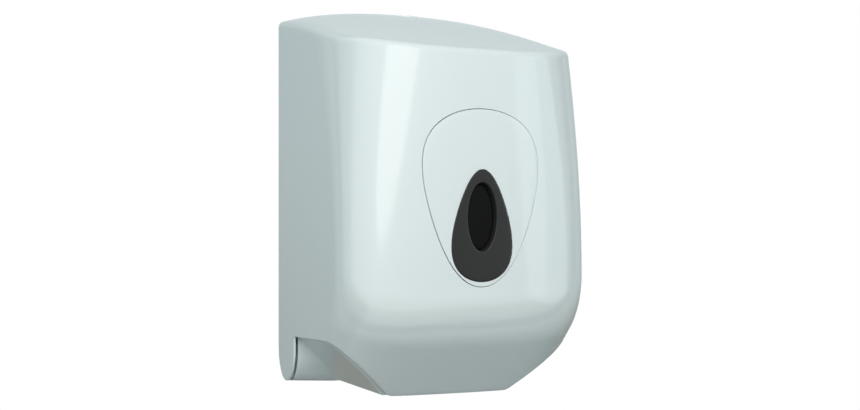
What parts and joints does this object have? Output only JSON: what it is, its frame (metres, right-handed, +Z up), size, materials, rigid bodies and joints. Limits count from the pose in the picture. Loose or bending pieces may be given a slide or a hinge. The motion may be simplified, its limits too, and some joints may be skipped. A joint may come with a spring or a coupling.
{
  "type": "centrefeed roll dispenser",
  "caption": "Wall-mounted centrefeed paper roll dispenser: a hood with a sight panel drops forward on two pins, with a roof lock, back plate, hopper, roll shelf, funnel and tear nozzle.",
  "frame": {"origin": "centre of the back plate's rear face in x, on the wall plane, 180 mm above the lowest point of the hopper and chin", "axes": "+Z up, +Y out of the rear face into the wall, +X to the right seen from the front"},
  "size_m": [0.236, 0.2144, 0.3669],
  "materials": {
    "white_abs": "gloss white, slightly cool",
    "white_abs_inside": "satin white",
    "charcoal_abs": "satin charcoal",
    "grey_acetal": "satin grey",
    "smoked_window": "dark smoked clear plastic",
    "zinc_steel": "zinc plated"
  },
  "bodies": {
    "base": {"back_plate": "white_abs_inside", "base_screw_1": "zinc_steel", "base_screw_2": "zinc_steel", "base_screw_3": "zinc_steel", "base_screw_4": "zinc_steel", "catch_screw_left": "zinc_steel", "catch_screw_right": "zinc_steel", "feed_funnel": "grey_acetal", "hinge_pin_left": "zinc_steel", "hinge_pin_right": "zinc_steel", "hopper": "white_abs", "nozzle_screw_1": "zinc_steel", "nozzle_screw_2": "zinc_steel", "nozzle_screw_3": "zinc_steel", "roll_shelf": "white_abs_inside", "shelf_screw_1": "zinc_steel", "shelf_screw_2": "zinc_steel", "shelf_screw_3": "zinc_steel", "shelf_screw_4": "zinc_steel", "tear_nozzle": "charcoal_abs", "top_catch": "zinc_steel"},
    "hood": {"hood_cover": "white_abs", "sight_panel": "white_abs", "teardrop_bezel": "charcoal_abs", "sight_lens": "smoked_window", "lock_nut": "zinc_steel", "push_nut_left": "zinc_steel", "push_nut_right": "zinc_steel", "push_nut_top": "zinc_steel"},
    "lock": {"lock_barrel": "grey_acetal", "lock_cam": "zinc_steel", "cam_screw": "zinc_steel"}
  },
  "joints": [
    {"name": "hood_hinge", "type": "hinge", "parent": "base", "child": "hood", "pos_m": [0, -0.02615, -0.15045], "axis": [1, 0, 0], "range_deg": [0, 85]},
    {"name": "lock_turn", "type": "hinge", "parent": "hood", "child": "lock", "pos_m": [0, -0.038, 0.1745], "axis": [0, 0, 1], "range_deg": [0, 90]}
  ]
}
